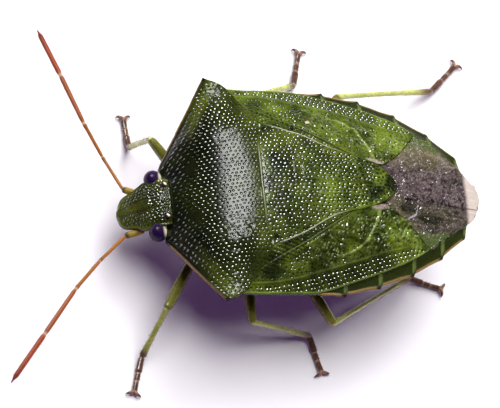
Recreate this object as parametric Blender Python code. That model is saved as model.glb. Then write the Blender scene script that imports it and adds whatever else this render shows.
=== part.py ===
"""Green shield bug, life size, standing still.

Lengths below are millimetres, turned into metres by MM.  In the body's own
frame X runs from the tip of the head back to the tail, Y runs to the animal's
right and Z runs up from the floor.  The empty "stand" carries every piece and
puts the middle of the bounding box over the origin.
"""
import math

import bmesh
import bpy
import numpy as np
from mathutils import Vector

MM = 0.001
BODY_LENGTH = 16.0
GAP = 0.30
PLATE = 0.50
LIMB_R = 0.25
HEAD_SLOPE = 0.78
HEAD_TIP_Z = 1.76
STERNUM_Z = 1.95
SHIFT_X = -5.985
SHIFT_Y = -0.776
SIDES = 10

for old in list(bpy.data.objects):
    bpy.data.objects.remove(old, do_unlink=True)

bug = bpy.data.collections.new("shield_bug")
bpy.context.scene.collection.children.link(bug)
stand = bpy.data.objects.new("stand", None)
stand.location = (SHIFT_X * MM, SHIFT_Y * MM, 0.0)
bug.objects.link(stand)


def through(*knots):
    """Smooth curve through the knots that never overshoots them."""
    x = np.array([k[0] for k in knots], float)
    y = np.array([k[1] for k in knots], float)
    h = np.diff(x)
    d = np.diff(y) / h
    m = np.zeros(len(x))
    m[0], m[-1] = d[0], d[-1]
    for i in range(1, len(x) - 1):
        if d[i - 1] * d[i] > 0:
            a, b = 2 * h[i] + h[i - 1], h[i] + 2 * h[i - 1]
            m[i] = (a + b) / (a / d[i - 1] + b / d[i])

    def value(t):
        t = min(max(t, x[0]), x[-1])
        i = min(int(np.searchsorted(x, t, side="right")) - 1, len(h) - 1)
        s = (t - x[i]) / h[i]
        return float(y[i] * (1 + 2 * s) * (1 - s) ** 2 + m[i] * h[i] * s * (1 - s) ** 2
                     + y[i + 1] * s * s * (3 - 2 * s) + m[i + 1] * h[i] * s * s * (s - 1))
    return value


def step(a, b, t):
    t = min(max((t - a) / (b - a), 0.0), 1.0)
    return t * t * (3 - 2 * t)


def mix(a, b, t):
    return a + (b - a) * t


def paint(name, colour, rough):
    mat = bpy.data.materials.new(name)
    mat.use_nodes = True
    node = mat.node_tree.nodes["Principled BSDF"]
    node.inputs["Base Color"].default_value = (*colour, 1.0)
    node.inputs["Roughness"].default_value = rough
    return mat


def keep(name, bm, colour, rough=0.35, smooth=True):
    """Close a shape, turn its faces outward and add it to the bug."""
    bmesh.ops.recalc_face_normals(bm, faces=bm.faces[:])
    if bm.calc_volume(signed=True) < 0:
        bmesh.ops.reverse_faces(bm, faces=bm.faces[:])
    bmesh.ops.scale(bm, vec=(MM, MM, MM), verts=bm.verts[:])
    mesh = bpy.data.meshes.new(name)
    bm.to_mesh(mesh)
    bm.free()
    for poly in mesh.polygons:
        poly.use_smooth = smooth
    obj = bpy.data.objects.new(name, mesh)
    mesh.materials.append(paint(name + "_colour", colour, rough))
    bug.objects.link(obj)
    obj.parent = stand
    return obj


def plate(name, rows, cols, place, colour, rough=0.35):
    """A closed shell: rows along the body, cols across, upper and lower skin."""
    bm = bmesh.new()
    nr, nc = len(rows) - 1, len(cols) - 1
    bmesh.ops.create_grid(bm, x_segments=nr, y_segments=nc, size=1.0)
    grown = bmesh.ops.extrude_face_region(bm, geom=bm.faces[:])["geom"]
    for v in grown:
        if isinstance(v, bmesh.types.BMVert):
            v.co.z = 1.0
    for v in bm.verts:
        i = int(round((v.co.x + 1) / 2 * nr))
        j = int(round((v.co.y + 1) / 2 * nc))
        x, y, z = place(rows[i], cols[j], v.co.z > 0.5)
        v.co = Vector((x, y, z))
    return keep(name, bm, colour, rough)


def limb(name, path, colour, rough=0.35, floor=False, sides=SIDES):
    """A tube through (x, y, z, half width, half height) stations, ends closed."""
    bm = bmesh.new()
    n = len(path)
    bmesh.ops.create_uvsphere(bm, u_segments=sides, v_segments=n + 1, radius=1.0)
    pts = [Vector(p[:3]) for p in path]
    frames = []
    for i in range(n):
        t = (pts[min(i + 1, n - 1)] - pts[max(i - 1, 0)]).normalized()
        side = t.cross(Vector((0, 0, 1)))
        side = side.normalized() if side.length > 1e-4 else Vector((0, 1, 0))
        frames.append((side, side.cross(t).normalized()))
    for v in bm.verts:
        c = min(max(v.co.z, -1.0), 1.0)
        ring = int(round(math.acos(c) / math.pi * (n + 1)))
        if ring == 0:
            p = pts[0].copy()
        elif ring == n + 1:
            p = pts[-1].copy()
        else:
            a = math.atan2(v.co.y, v.co.x)
            side, up = frames[ring - 1]
            w, h = path[ring - 1][3:5]
            p = pts[ring - 1] + side * (w * math.cos(a)) + up * (h * math.sin(a))
        if floor:
            p.z = max(p.z, 0.0)
        v.co = p
    return keep(name, bm, colour, rough)


def ball(name, centre, size, colour, rough=0.1, u=16, v=10):
    bm = bmesh.new()
    bmesh.ops.create_uvsphere(bm, u_segments=u, v_segments=v, radius=1.0)
    for vert in bm.verts:
        vert.co = Vector([centre[k] + vert.co[k] * size[k] for k in range(3)])
    return keep(name, bm, colour, rough)


def both(half):
    """Mirror a list of stations from 0 to 1 into one from -1 to 1."""
    return [-c for c in reversed(half) if c > 0] + list(half)


GREEN = (0.045, 0.11, 0.012)
DEEP = (0.03, 0.085, 0.01)
LEAF = (0.09, 0.16, 0.02)
OLIVE = (0.16, 0.17, 0.02)
BROWN = (0.10, 0.035, 0.012)
AMBER = (0.30, 0.085, 0.015)

# The back as one surface: its edge, its crown and how square it falls off.
edge_w = through((4.6, 5.10), (6.3, 5.09), (7.8, 5.08), (9.2, 5.00), (10.8, 4.62), (12.4, 3.98),
                 (13.8, 3.10), (15.0, 2.02), (15.2, 1.75), (15.45, 1.00))
edge_z = through((4.6, 4.21), (7.8, 4.20), (9.3, 4.16), (10.9, 4.24), (12.5, 4.22), (14.0, 4.19),
                 (16.0, 4.10))
crown_z = through((5.4, 5.08), (5.8, 5.16), (7.0, 5.35), (8.5, 5.44), (10.0, 5.39), (11.0, 5.24),
                  (11.9, 5.06), (13.0, 4.92), (14.0, 4.72), (15.0, 4.48), (16.1, 4.20))
fall = through((5.0, 2.1), (10.5, 2.1), (13.0, 2.8), (16.0, 2.4))
back_w = through((4.6, 5.10), (6.3, 5.09), (7.8, 5.08), (9.2, 5.02), (10.8, 4.68), (12.4, 4.15),
                 (13.8, 3.45), (15.0, 2.75), (16.0, 2.2))


def back(x, y):
    r = min(abs(y) / back_w(x), 1.0)
    return edge_z(x) + (crown_z(x) - edge_z(x)) * (1 - r ** fall(x))


# Where the leathery wing base ends at the side, and the clear wing behind it.
wing_y = through((4.6, 5.10), (6.3, 5.09), (7.8, 5.06), (8.5, 4.93), (9.27, 4.68), (10.75, 4.17),
                 (12.23, 3.52), (13.2, 2.95), (13.7, 2.58), (14.2, 2.18), (14.8, 1.68),
                 (15.3, 1.20), (15.7, 0.75), (16.0, 0.35))

# Prothorax: one block, sharp at the shoulders, hollowed where the head sits.
front_x = through((0, 2.27), (0.5, 2.27), (0.77, 2.15), (1, 1.90))
rear_x = through((0, 5.50), (0.3, 5.53), (0.55, 5.76), (0.75, 5.06), (0.9, 4.48), (1, 3.81))
rear_y = through((0, 0.0), (0.3, 1.65), (0.55, 3.02), (0.75, 4.20), (0.9, 5.08), (1, 5.59))
rear_z = through((0, 5.12), (0.3, 5.09), (0.55, 4.95), (0.75, 4.60), (0.9, 4.24), (1, 4.42))


def pronotum_top(u, v):
    a, s = abs(v), (1 if v >= 0 else -1)
    x = mix(front_x(a), rear_x(a), u)
    y = mix(1.85 * a, rear_y(a), u) * s
    z = mix(3.33 - 0.46 * a * a, rear_z(a), u) + 0.33 * 4 * u * (1 - u) * (1 - a ** 6)
    return x, y, z


def pronotum(u, v, top):
    x, y, z = pronotum_top(u, v)
    if not top:
        deep = pronotum_top(u, 0.0)[2] - STERNUM_Z
        z -= mix(deep, PLATE, abs(v) ** 1.6)
        pull = 0.12 * abs(v) ** 8
        x, y = x + pull, y * (1 - 0.4 * pull)
    return x, y, z


plate("pronotum", [i / 10 for i in range(11)],
      both([0, 0.14, 0.28, 0.42, 0.55, 0.66, 0.76, 0.84, 0.91, 0.96, 1.0]),
      pronotum, GREEN)

# Scutellum: the long shield between the wings.
shield_w = through((5.8, 3.02), (6.2, 2.92), (7.38, 2.42), (8.92, 1.57), (10.57, 1.05),
                   (11.18, 0.78), (11.55, 0.48), (11.8, 0.25))


def scutellum(x, v, top):
    w = shield_w(x)
    y = v * w
    front = 5.80 + 0.26 * (abs(v) ** 2.5)
    x = mix(front, 11.8, (x - 5.8) / 6.0)
    y = v * shield_w(x)
    return x, y, back(x, y) + (0.06 * (1 - v * v) if top else -PLATE)


plate("scutellum", [5.8, 6.2, 6.8, 7.5, 8.2, 8.9, 9.6, 10.2, 10.7, 11.1, 11.4, 11.65, 11.8],
      both([0, 0.25, 0.5, 0.75, 1.0]), scutellum, GREEN)

# Leathery wing base, its two veins raised, its outer edge let into the rim.
inner_x = through((0, 6.12), (0.2, 7.52), (0.42, 9.02), (0.62, 10.60), (0.72, 11.25), (0.80, 11.72),
                  (0.88, 12.22), (0.94, 12.62), (1, 12.86))
inner_y = through((0, 3.22), (0.2, 2.73), (0.42, 1.88), (0.62, 1.38), (0.72, 1.26), (0.80, 1.45),
                  (0.88, 1.86), (0.94, 2.30), (1, 2.62))
outer_x = through((0, 4.80), (0.2, 6.90), (0.42, 8.85), (0.62, 10.60), (0.72, 11.35), (0.80, 11.90),
                  (0.88, 12.42), (0.94, 12.80), (1, 13.02))


def rim_r(x):
    return step(8.3, 9.3, x) * (1 - step(15.05, 15.35, x))


def corium_side(sign):
    def corium(u, v, top):
        ox = outer_x(u)
        oy = wing_y(ox) - mix(0.02, 0.15 if top else 0.42, step(8.0, 9.0, ox))
        x, y = mix(inner_x(u), ox, v), mix(inner_y(u), oy, v)
        z = back(x, y)
        if top:
            z += 0.07 * (max(0.0, 1 - abs(v - 0.30) / 0.06) + max(0.0, 1 - abs(v - 0.72) / 0.06)) \
                * (1 - step(0.75, 0.95, u))
        else:
            z -= PLATE
        return x, y * sign, z
    return corium


for side, sign in (("left", -1), ("right", 1)):
    plate("corium_" + side, [0, 0.08, 0.16, 0.25, 0.34, 0.43, 0.52, 0.61, 0.68, 0.75, 0.82, 0.89,
                             0.95, 1.0],
          [0, 0.12, 0.24, 0.30, 0.36, 0.5, 0.66, 0.72, 0.78, 0.9, 1.0],
          corium_side(sign), DEEP)

# Clear wing tips: the right one lies over the left; veins stand up on both.
seam_x = through((0, 12.13), (0.12, 12.14), (0.3, 11.95), (0.42, 11.70), (0.52, 11.82), (0.64, 12.15),
                 (0.78, 12.65), (0.9, 13.08), (1, 13.36))
seam_y = through((0, -0.42), (0.12, 0.0), (0.3, 0.58), (0.42, 1.00), (0.52, 1.22), (0.64, 1.40),
                 (0.78, 1.80), (0.9, 2.28), (1, 2.62))
tail_x = through((0, 15.90), (0.12, 15.98), (0.3, 15.78), (0.52, 15.28), (0.7, 14.72), (0.86, 14.10),
                 (1, 13.45))
tail_y = through((0, -0.42), (0.12, 0.0), (0.3, 0.62), (0.52, 1.22), (0.7, 1.74), (0.86, 2.25),
                 (1, 2.72))
VEINS = (0.16, 0.32, 0.48, 0.64, 0.80)


def membrane_side(sign):
    def membrane(u, v, top):
        lo = 0.0 if sign > 0 else 0.30
        w = mix(lo, 1.0, v)
        fx, fy, bx, by = seam_x(w), seam_y(w), tail_x(w), tail_y(w)
        x, y = mix(fx, bx, u), mix(fy, by, u)
        if sign < 0:
            y = max(y, 0.72)
        y = min(y, wing_y(x) - (0.15 if top else 0.42) * rim_r(x))
        z = back(x, y)
        if top:
            z += 0.09 * sum(max(0.0, 1 - abs(v - k) / 0.03) for k in VEINS) \
                * step(0, 0.12, u) * (1 - step(0.9, 1.0, u))
        else:
            z -= PLATE
        return x, y * sign, z
    return membrane


vein_cols = [0.0, 0.08]
for k in VEINS:
    vein_cols += [k - 0.03, k, k + 0.03, k + 0.08]
vein_cols[-1] = 0.90
vein_cols += [1.0]
for side, sign in (("left", -1), ("right", 1)):
    plate("membrane_" + side, [0, 0.12, 0.28, 0.45, 0.62, 0.78, 0.9, 1.0], vein_cols,
          membrane_side(sign), (0.14, 0.09, 0.05), 0.2)

# Underside of the chest, from behind the prothorax to the first belly ring.
chest_x = through((0, 5.80), (0.33, 5.83), (0.61, 6.06), (0.84, 5.42), (1, 4.90))


def thorax(u, v, top):
    a = abs(v)
    x = mix(chest_x(a), 7.68, u)
    y = v * 4.98
    z = back(x, y) - PLATE - GAP - 0.03
    if not top:
        z = mix(STERNUM_Z, z - PLATE, a ** 2.0)
    return x, y, z


plate("thorax", [0, 0.25, 0.5, 0.75, 1.0], both([0, 0.17, 0.33, 0.5, 0.61, 0.75, 0.87, 1.0]),
      thorax, GREEN)

# Abdomen: a keel-shaped belly and a flat rim with a tooth at each ring.
TEETH = (9.28, 10.90, 12.51, 13.94, 15.13)
belly_z = through((7.9, 1.80), (9.0, 1.52), (10.5, 1.42), (12.0, 1.62), (13.5, 2.12), (14.6, 2.68),
                  (15.45, 3.02))


def tooth(x):
    return sum(0.12 * max(0.0, 1 - (t - x) / 0.45) if x <= t else 0.12 * max(0.0, 1 - (x - t) / 0.12)
               for t in TEETH if -0.15 < t - x < 0.45)


def abdomen(x, v, top):
    a, s = abs(v), (1 if v >= 0 else -1)
    outer = edge_w(x) + tooth(x) * (0.3 + 0.7 * rim_r(x))
    inner = min(wing_y(x), outer - 0.30)
    foot, lip = inner - 0.25, inner + 0.17
    lip = min(lip, outer - 0.06)
    r = rim_r(x)
    if a <= 0.8:
        y = foot * a / 0.8
    elif a < 0.95:
        y = lip
    else:
        y = outer
    low = back(x, min(y, back_w(x))) - PLATE - GAP - 0.03
    if top:
        rise = 0.0 if a <= 0.8 else r
        z = mix(low, mix(back(x, y), edge_z(x), 1.0 if a > 0.95 else 0.35), rise)
        if x > 15.2:
            z = min(z, low)
    else:
        side = mix(low, edge_z(x), r) - PLATE if x <= 15.2 else low - PLATE
        z = mix(belly_z(x), side, (y / outer) ** 2.0)
        crease = max(0.0, 1 - min(abs(x - t - 0.02) for t in TEETH) / 0.07)
        z += 0.07 * crease * (1 - (y / outer) ** 4)
    return x, y * s, z


rings = [7.98, 8.4, 8.75, 9.0]
for t in TEETH[:-1]:
    rings += [t - 0.08, t, t + 0.10, t + 0.5, t + 0.8, t + 1.1]
rings = [r for r in rings if r < 14.95] + [15.05, 15.13, 15.25, 15.42]
rings = sorted(set(round(r, 3) for r in rings))
rings = [r for i, r in enumerate(rings) if i == 0 or r - rings[i - 1] > 0.06]
plate("abdomen", rings, both([0, 0.2, 0.4, 0.6, 0.8, 0.9, 1.0]), abdomen, LEAF)

# Head: flat above, leaning forward, cut back at the sides for the eyes.
head_w = through((0, 0.22), (0.06, 0.46), (0.22, 0.70), (0.43, 0.83), (0.68, 0.93), (0.88, 0.97),
                 (1.02, 0.82), (1.15, 0.72), (1.75, 0.72), (1.97, 0.80))


def head(x, v, top):
    y = v * head_w(x)
    z = HEAD_TIP_Z + HEAD_SLOPE * x
    if top:
        line = max(0.0, 1 - abs(abs(v) - 0.34) / 0.1) * (1 - step(0.9, 1.3, x))
        z += 0.10 * step(0, 0.6, x) * (1 - v * v) - 0.05 * line
    else:
        low = through((0, 1.34), (0.3, 1.40), (1.97, 1.64))(x)
        z = mix(low, z - 0.48, abs(v) ** 2.2)
    return x, y, z


plate("head", [0, 0.06, 0.22, 0.43, 0.68, 0.88, 1.02, 1.15, 1.45, 1.75, 1.97],
      both([0, 0.14, 0.34, 0.54, 0.8, 1.0]), head, GREEN)

for side, sign in (("left", -1), ("right", 1)):
    ball("eye_" + side, (1.45, 1.42 * sign, 2.66), (0.38, 0.36, 0.38), (0.02, 0.008, 0.02))

# Beak: four joints lying along the chest between the legs.
beak = [(0.42, 0.86, 0.25), (0.95, 0.86, 0.27), (1.60, 0.88, 0.27), (1.72, 0.89, 0.24),
        (1.84, 0.91, 0.27), (3.2, 1.20, 0.26), (3.35, 1.22, 0.24), (3.5, 1.24, 0.26),
        (4.9, 1.34, 0.25), (5.02, 1.35, 0.235), (5.14, 1.35, 0.25), (6.3, 1.36, 0.25)]
limb("rostrum", [(x, 0.0, z, r, r) for x, z, r in beak], OLIVE)


def feeler(name, joints):
    """Five joints, each a little waisted where it meets the next."""
    radii = ((0.27, 0.30), (0.25, 0.26), (0.25, 0.27), (0.25, 0.29), (0.25, 0.29))
    path = []
    for k in range(len(joints) - 1):
        a, b = Vector(joints[k]), Vector(joints[k + 1])
        d = (b - a).normalized()
        thin, full = radii[k]
        last = k == len(joints) - 2
        path += [(*(a + d * (0.0 if k == 0 else 0.10)), thin, thin),
                 (*(a + (b - a) * 0.25), full, full),
                 (*(a + (b - a) * 0.85), full * 0.98, full * 0.98),
                 (*(b if last else b - d * 0.10), thin * (0.5 if last else 0.95),
                  thin * (0.5 if last else 0.95))]
    limb(name, path, AMBER, sides=8)


feeler("antenna_right", [(0.80, 1.58, 1.84), (0.28, 1.36, 1.92), (-0.42, 2.88, 1.74),
                         (-1.14, 4.52, 1.83), (-1.99, 6.98, 1.82), (-2.73, 9.59, 1.37)])
feeler("antenna_left", [(0.80, -1.58, 1.84), (0.16, -1.34, 1.92), (-1.09, -2.48, 1.99),
                        (-2.27, -3.84, 1.88), (-3.77, -5.93, 1.54), (-5.36, -8.09, 0.94)])

# Legs: hip, knee, end of shin and tip of the claws for each.
LEGS = {
    "front_left": ((3.50, -1.35), (1.80, -4.63, 1.70), (0.84, -6.29), (0.32, -8.15)),
    "front_right": ((3.50, 1.35), (1.67, 3.45, 2.47), (1.24, 4.28), (1.16, 5.94)),
    "middle_left": ((5.75, -1.45), (5.48, -5.47, 2.20), (8.61, -5.08), (9.04, -6.96)),
    "middle_right": ((5.85, 1.45), (6.42, 6.03, 2.00), (9.24, 7.75), (9.74, 9.71)),
    "hind_left": ((7.80, -1.45), (9.07, -5.62, 2.50), (13.56, -2.00), (15.12, -2.49)),
    "hind_right": ((7.85, 1.45), (10.50, 5.93, 2.50), (15.69, 7.67), (17.18, 9.30)),
}

for leg, (hip, knee, shin, claw) in LEGS.items():
    hip = Vector((*hip, 1.22))
    knee = Vector(knee)
    ankle = Vector((*shin, 0.30))
    ball("coxa_" + leg, hip, (0.50, 0.48, 0.40), OLIVE, 0.3, 12, 8)
    thigh = (knee - hip).normalized()
    start = hip + thigh * 0.84
    span = (knee - start).length
    limb("femur_" + leg,
         [(*(start + thigh * span * t), r, r) for t, r in
          ((0, 0.25), (0.12, 0.27), (0.45, 0.285), (0.8, 0.27), (0.94, 0.26), (1.0, 0.25))], OLIVE)
    down = (ankle - knee).normalized()
    turn = math.sqrt(max(0.0, 1 - thigh.dot(down) ** 2))
    back_off = 0.34 + 0.27 * turn + 0.40 * max(0.0, -thigh.dot(down))
    top = knee + down * back_off
    toe = Vector((claw[0] - shin[0], claw[1] - shin[1], 0))
    reach = toe.length
    toe.normalize()
    low = ankle - down * 0.42
    if low.z < 0.52:
        low = ankle - down * min(0.42 + (0.52 - low.z) / max(-down.z, 0.2), 0.95)
    run = low - top
    limb("tibia_" + leg,
         [(*(top + run * t), r, r) for t, r in
          ((0, 0.25), (0.06, 0.26), (0.5, 0.25), (0.9, 0.26), (1.0, 0.27))], LEAF)
    foot = Vector((shin[0], shin[1], 0.20)) + toe * 0.05
    reach -= 0.05
    limb("tarsus_" + leg,
         [(*(foot + toe * (reach * t)), w, h) for t, w, h in
          ((0, 0.25, 0.25), (0.08, 0.27, 0.25), (0.36, 0.27, 0.25), (0.40, 0.23, 0.22),
           (0.44, 0.26, 0.25), (0.60, 0.26, 0.25), (0.64, 0.23, 0.22), (0.68, 0.25, 0.25),
           (0.86, 0.25, 0.25), (0.93, 0.30, 0.22), (1.0, 0.34, 0.20))],
         BROWN, floor=True, sides=12)
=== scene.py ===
import bpy
import bmesh
import math
import numpy as np
from mathutils import Matrix, Vector


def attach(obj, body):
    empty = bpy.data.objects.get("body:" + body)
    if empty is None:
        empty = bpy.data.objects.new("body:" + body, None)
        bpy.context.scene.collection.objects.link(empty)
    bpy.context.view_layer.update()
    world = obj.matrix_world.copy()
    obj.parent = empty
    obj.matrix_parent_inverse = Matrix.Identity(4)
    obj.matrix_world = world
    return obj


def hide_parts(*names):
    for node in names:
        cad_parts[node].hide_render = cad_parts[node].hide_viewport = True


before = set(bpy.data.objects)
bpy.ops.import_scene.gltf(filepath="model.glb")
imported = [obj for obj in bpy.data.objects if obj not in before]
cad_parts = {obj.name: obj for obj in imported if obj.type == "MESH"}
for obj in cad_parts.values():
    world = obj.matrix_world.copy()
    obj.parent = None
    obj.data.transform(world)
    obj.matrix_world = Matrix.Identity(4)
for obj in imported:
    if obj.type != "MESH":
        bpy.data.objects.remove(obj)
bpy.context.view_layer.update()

# ---------------------------------------------------------------- Trunk
# The hard belly shell of the bug, from behind the front pair of legs to the
# tail, with the flat toothed rim that shows beside the wings.  Chitin, grown
# as rings that lock into one another along shallow creases.
MM = 0.001
MIDDLE = np.array([-5.985, -0.776, 0.0])    # from the sketch's zero at the snout, in mm
SIDES = (("left", -1), ("right", 1))


def through(*knots):
    """Smooth curve through the knots that never overshoots them."""
    x = np.array([k[0] for k in knots], float)
    y = np.array([k[1] for k in knots], float)
    h = np.diff(x)
    d = np.diff(y) / h
    m = np.zeros(len(x))
    m[0], m[-1] = d[0], d[-1]
    for i in range(1, len(x) - 1):
        if d[i - 1] * d[i] > 0:
            a, b = 2 * h[i] + h[i - 1], h[i] + 2 * h[i - 1]
            m[i] = (a + b) / (a / d[i - 1] + b / d[i])

    def value(t):
        t = np.clip(np.asarray(t, float), x[0], x[-1])
        i = np.clip(np.searchsorted(x, t, side="right") - 1, 0, len(h) - 1)
        s = (t - x[i]) / h[i]
        return (y[i] * (1 + 2 * s) * (1 - s) ** 2 + m[i] * h[i] * s * (1 - s) ** 2
                + y[i + 1] * s * s * (3 - 2 * s) + m[i + 1] * h[i] * s * s * (s - 1))
    return value


def tracks(*knots):
    """A smooth curve for each column of the knots after their first."""
    at, *columns = zip(*knots)
    return [through(*zip(at, column)) for column in columns]


def step(a, b, t):
    t = np.clip((np.asarray(t, float) - a) / (b - a), 0, 1)
    return t * t * (3 - 2 * t)


def mix(a, b, t):
    return a + (b - a) * t


def line(t, centre, half):
    """1 on a line, fading to 0 at its half width."""
    return step(1, 0, np.abs(t - centre) / half)


def within(t, a, b, c, d):
    """1 from b to c, fading to 0 at a and at d."""
    return step(a, b, t) * step(d, c, t)


def stripes(t, half):
    """1 halfway between whole numbers, fading to 0 at the half width."""
    return line(t - np.floor(t), 0.5, half)


def bulge(t):
    """How far a plate's side wall rounds out between its lower and upper edge."""
    return 0.03 * np.sin(np.pi * t)


def chance(i, j, seed):
    """A fixed draw from 0 to 1 for each pair of whole numbers."""
    v = np.sin(i * 127.1 + j * 311.7 + seed * 74.7) * 43758.5453
    return v - np.floor(v)


def ripple(x, y, size, seed=0):
    """Smooth random relief from 0 to 1 with lumps of the given size."""
    gx, gy = np.asarray(x, float) / size, np.asarray(y, float) / size
    i, j = np.floor(gx), np.floor(gy)
    a, b = gx - i, gy - j
    a, b = a * a * (3 - 2 * a), b * b * (3 - 2 * b)
    return mix(mix(chance(i, j, seed), chance(i + 1, j, seed), a),
               mix(chance(i, j + 1, seed), chance(i + 1, j + 1, seed), a), b)


def closed_skin(name, rows, ring, place):
    """A closed skin of rings.  place gives x, y, z in mm and the named masks."""
    rows = np.asarray(rows, float)
    v_at, t_at = np.array(ring, float).T
    bm = bmesh.new()
    bmesh.ops.create_uvsphere(bm, u_segments=len(ring), v_segments=len(rows) + 1, radius=1.0)
    ball = np.array([v.co[:] for v in bm.verts])
    at = np.rint(np.arccos(np.clip(ball[:, 2], -1, 1)) / np.pi * (len(rows) + 1)).astype(int)
    turn = np.rint(np.arctan2(ball[:, 1], ball[:, 0]) / (2 * np.pi) * len(ring)).astype(int)
    turn %= len(ring)
    row = np.clip(at - 1, 0, len(rows) - 1)
    xyz, masks = place(rows[row], v_at[turn], t_at[turn])
    for pole, near in ((at == 0, at == 1), (at == len(rows) + 1, at == len(rows))):
        xyz[pole] = xyz[near].mean(axis=0)
    for v, p in zip(bm.verts, xyz):
        v.co = p
    bmesh.ops.recalc_face_normals(bm, faces=bm.faces[:])
    if bm.calc_volume(signed=True) < 0:
        bmesh.ops.reverse_faces(bm, faces=bm.faces[:])
    mesh = bpy.data.meshes.new(name)
    bm.to_mesh(mesh)
    bm.free()
    if "relief" in masks:
        out = np.zeros(len(xyz) * 3)
        mesh.vertex_normals.foreach_get("vector", out)
        xyz = xyz + out.reshape(-1, 3) * masks.pop("relief")[:, None]
    xyz[:, 2] = np.maximum(xyz[:, 2], 0.0)
    mesh.vertices.foreach_set("co", ((xyz + MIDDLE) * MM).ravel())
    for key, value in masks.items():
        mesh.attributes.new(key, "FLOAT", "POINT").data.foreach_set(
            "value", np.clip(value, 0, 1).astype(np.float32))
    mesh.polygons.foreach_set("use_smooth", [True] * len(mesh.polygons))
    mesh.update()
    return mesh


def add_piece(mesh, material, slot, *nodes):
    """Put a finished mesh on the bug in place of the plain solids."""
    piece = bpy.data.objects.new(mesh.name, mesh)
    mesh.materials.append(material)
    bpy.context.scene.collection.objects.link(piece)
    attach(piece, "root")
    if nodes:
        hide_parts(*nodes)
    return piece


def plate_ring(top, under, sides=(0.75, 0.5, 0.25)):
    """Ring of a plate: over its top, down its side walls and back underneath."""
    return ([(v, 1) for v in top] + [(top[-1], t) for t in sides]
            + [(v, 0) for v in np.linspace(top[-1], top[0], under)]
            + [(top[0], t) for t in sides[::-1]])


def band(a, b, n):
    return [mix(a, b, (k + 0.5) / n) for k in range(n)]


edge_w = through((4.6, 5.10), (6.3, 5.09), (7.8, 5.08), (9.2, 5.00), (10.8, 4.62), (12.4, 3.98),
                 (13.8, 3.10), (15.0, 2.02), (15.14, 1.86), (15.24, 1.50), (15.45, 0.80))
edge_z = through((4.6, 4.21), (7.8, 4.20), (9.3, 4.16), (10.9, 4.24), (12.5, 4.22), (14.0, 4.19),
                 (16.0, 4.10))
crown_z = through((5.4, 5.08), (5.8, 5.16), (7.0, 5.35), (8.5, 5.44), (10.0, 5.39), (11.0, 5.24),
                  (11.9, 5.06), (13.0, 4.90), (14.0, 4.70), (15.0, 4.46), (16.1, 4.18))
fall = through((5.0, 2.1), (10.5, 2.1), (13.0, 2.8), (16.0, 2.4))
back_w = through((4.6, 5.10), (6.3, 5.09), (7.8, 5.08), (9.2, 5.02), (10.8, 4.68), (12.4, 4.15),
                 (13.8, 3.45), (15.0, 2.75), (16.0, 2.2))
wing_y = through((4.6, 5.12), (6.3, 5.10), (7.8, 5.06), (8.5, 4.93), (9.27, 4.68), (10.75, 4.17),
                 (12.23, 3.52), (13.2, 2.95), (13.7, 2.58), (14.2, 2.18), (14.8, 1.68),
                 (15.3, 1.20), (15.7, 0.75), (16.0, 0.35))
belly_z = through((5.6, 1.95), (7.9, 1.80), (9.0, 1.52), (10.5, 1.42), (12.0, 1.62), (13.5, 2.12),
                  (14.6, 2.68), (15.45, 3.10))
TEETH = (9.28, 10.90, 12.51, 13.94, 15.13)


def back(x, y):
    """Height of the bug's back over any point of its outline."""
    r = np.clip(np.abs(y) / back_w(x), 0, 1)
    return edge_z(x) + (crown_z(x) - edge_z(x)) * (1 - r ** fall(x))


def tooth(x):
    rise = np.zeros_like(x)
    for t in TEETH:
        rise += np.where(x <= t, np.clip(1 - (t - x) / 0.75, 0, 1) ** 1.6,
                         np.clip(1 - (x - t) / 0.07, 0, 1))
    return 0.13 * rise * step(7.9, 8.4, x)


def at_teeth(rule):
    """The largest value of a rule over the teeth of the rim."""
    return np.max([rule(k) for k in TEETH], axis=0)


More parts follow.
